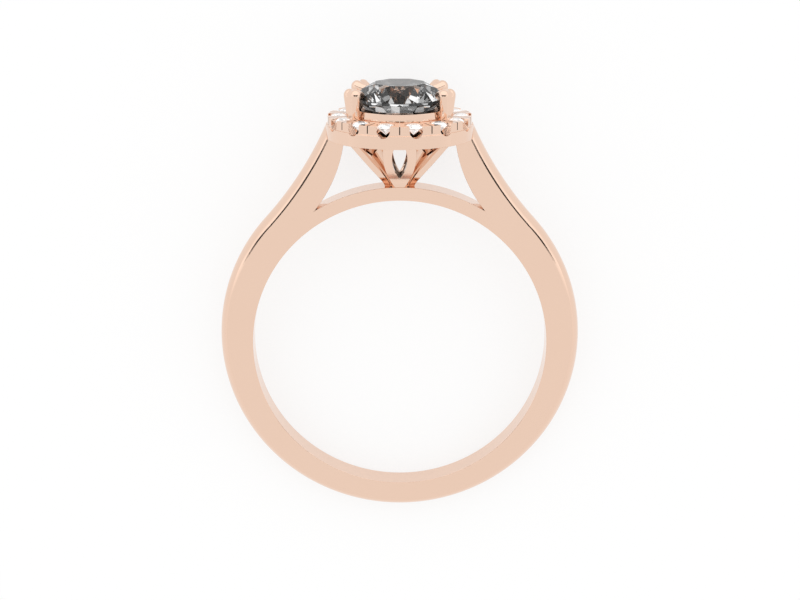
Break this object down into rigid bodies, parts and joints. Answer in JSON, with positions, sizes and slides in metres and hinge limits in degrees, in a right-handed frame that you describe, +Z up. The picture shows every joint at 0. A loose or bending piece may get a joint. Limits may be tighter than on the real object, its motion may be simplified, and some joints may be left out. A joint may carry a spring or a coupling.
{
  "type": "halo ring",
  "caption": "Rose gold finger ring: round centre stone in double claws, a halo of small stones, cathedral shoulders and a petal basket.",
  "frame": {"origin": "middle of the ring's footprint, on the surface that it lies on", "axes": "+Z up from the surface, +Y from the bottom of the band to the stone, +X across the ring"},
  "size_m": [0.0202, 0.0244, 0.0082],
  "materials": {
    "rose_gold": "polished rose gold",
    "grey_stone": "cut and polished grey stone",
    "clear_stone": "cut and polished clear stone"
  },
  "bodies": {
    "root": {"ring_mounting": "rose_gold", "centre_stone": "grey_stone", "halo_stone_01": "clear_stone", "halo_stone_02": "clear_stone", "halo_stone_03": "clear_stone", "halo_stone_04": "clear_stone", "halo_stone_05": "clear_stone", "halo_stone_06": "clear_stone", "halo_stone_07": "clear_stone", "halo_stone_08": "clear_stone", "halo_stone_09": "clear_stone", "halo_stone_10": "clear_stone", "halo_stone_11": "clear_stone", "halo_stone_12": "clear_stone", "halo_stone_13": "clear_stone", "halo_stone_14": "clear_stone"}
  },
  "joints": []
}
